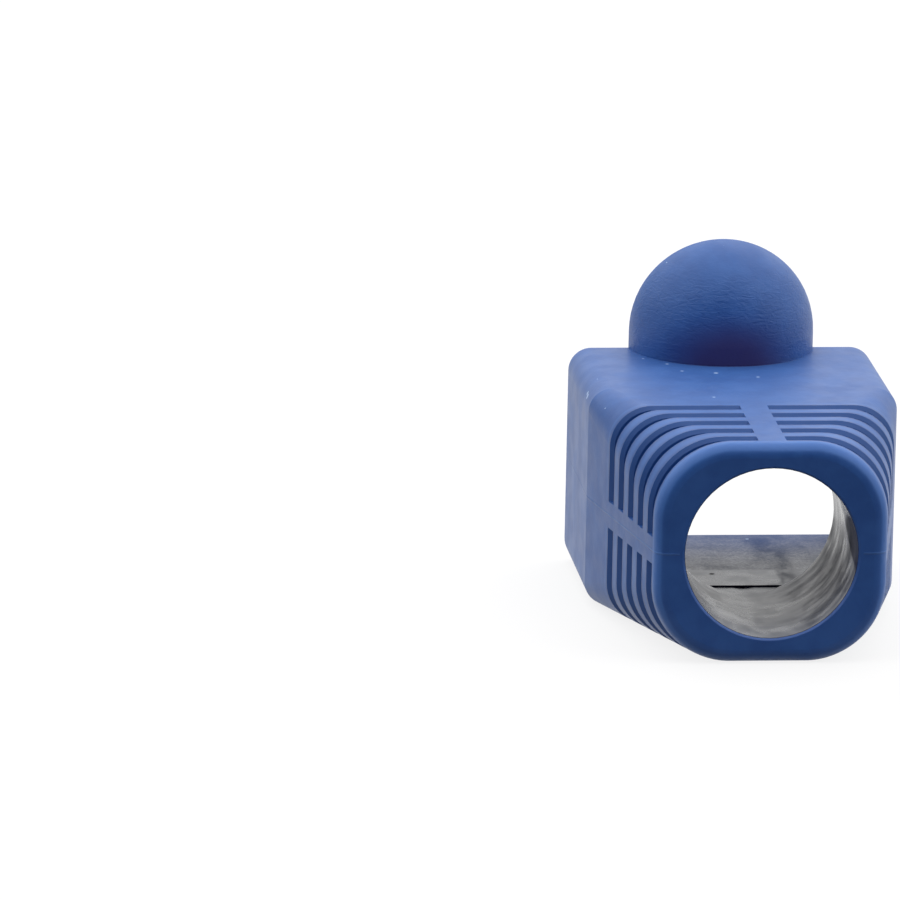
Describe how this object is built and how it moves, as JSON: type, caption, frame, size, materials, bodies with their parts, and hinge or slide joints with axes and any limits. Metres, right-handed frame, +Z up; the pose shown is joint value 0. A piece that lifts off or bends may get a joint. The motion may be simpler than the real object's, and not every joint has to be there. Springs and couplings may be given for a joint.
{
  "type": "rj45 strain relief boot",
  "caption": "Slip-on strain relief boot for a modular network plug: square mouth with a round latch hood, tapering to a ribbed nose with a round cable bore.",
  "frame": {"origin": "middle of the flat underside, half way between the nose face and the mouth face", "axes": "+Z up through the latch hood, +Y along the cable towards the open mouth, -Y out of the cable bore, X across the boot"},
  "size_m": [0.0148, 0.0204, 0.0158],
  "materials": {
    "boot_vinyl": "matte moulded soft vinyl, glossier inside the bore and plug room"
  },
  "bodies": {
    "root": {"boot": "boot_vinyl"}
  },
  "joints": []
}
